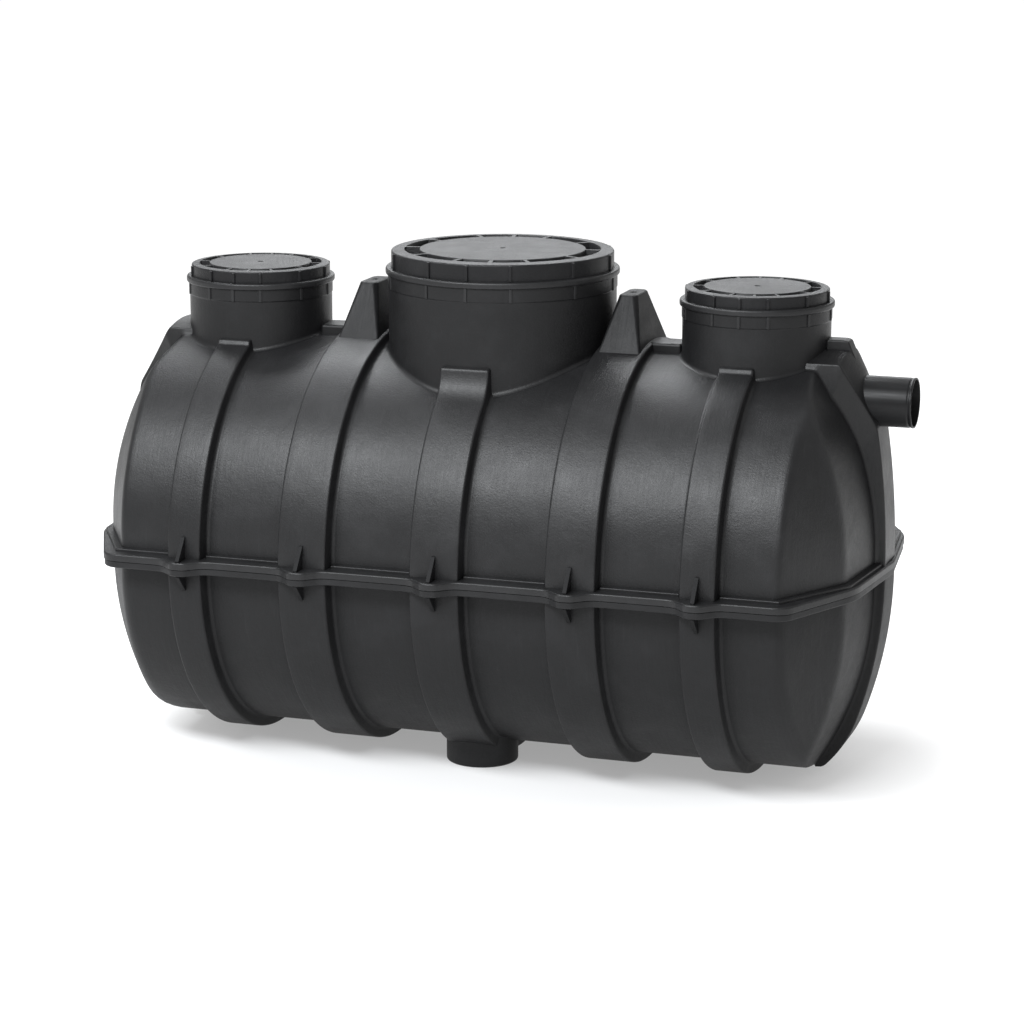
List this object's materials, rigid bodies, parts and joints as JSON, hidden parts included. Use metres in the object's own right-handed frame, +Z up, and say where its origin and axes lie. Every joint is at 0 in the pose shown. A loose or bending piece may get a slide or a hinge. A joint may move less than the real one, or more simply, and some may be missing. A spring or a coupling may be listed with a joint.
{
  "type": "septic tank",
  "caption": "Ribbed black plastic underground tank in half shells with a bolted flange, access necks with lids, lifting horns, an inlet opening and an outlet pipe.",
  "frame": {"origin": "on the floor, under the middle of the overall box", "axes": "+X along the tank towards the outlet pipe, +Y across it, +Z up"},
  "size_m": [1.8418, 1.03, 1.143],
  "materials": {
    "tank_plastic": "semi-matte moulded black polyethylene",
    "lid_plastic": "semi-matte moulded black polyethylene",
    "pipe_plastic": "satin extruded black polyethylene",
    "seal_rubber": "matt black rubber"
  },
  "bodies": {
    "root": {"shell_lower": "tank_plastic", "end_lower_left": "tank_plastic", "end_lower_right": "tank_plastic", "shell_upper": "tank_plastic", "end_upper_left": "tank_plastic", "end_upper_right": "tank_plastic", "flange_lower": "tank_plastic", "flange_upper": "tank_plastic", "gussets_lower": "tank_plastic", "gussets_upper": "tank_plastic", "rib_lower_1": "tank_plastic", "rib_lower_2": "tank_plastic", "rib_lower_3": "tank_plastic", "rib_lower_4": "tank_plastic", "rib_lower_5": "tank_plastic", "rib_upper_1": "tank_plastic", "rib_upper_2": "tank_plastic", "rib_upper_3": "tank_plastic", "rib_upper_4": "tank_plastic", "rib_upper_5": "tank_plastic", "end_rib_lower_left": "tank_plastic", "end_rib_lower_right": "tank_plastic", "boss_inlet": "tank_plastic", "boss_outlet": "tank_plastic", "outlet_ridge": "tank_plastic", "crown_ridges": "tank_plastic", "horn_left": "tank_plastic", "horn_right": "tank_plastic", "neck_left": "tank_plastic", "neck_middle": "tank_plastic", "neck_right": "tank_plastic", "ring_left": "tank_plastic", "ring_middle": "tank_plastic", "ring_right": "tank_plastic", "lid_left": "lid_plastic", "lid_middle": "lid_plastic", "lid_right": "lid_plastic", "outlet_pipe": "pipe_plastic", "inlet_seal": "seal_rubber", "feet": "tank_plastic"}
  },
  "joints": []
}
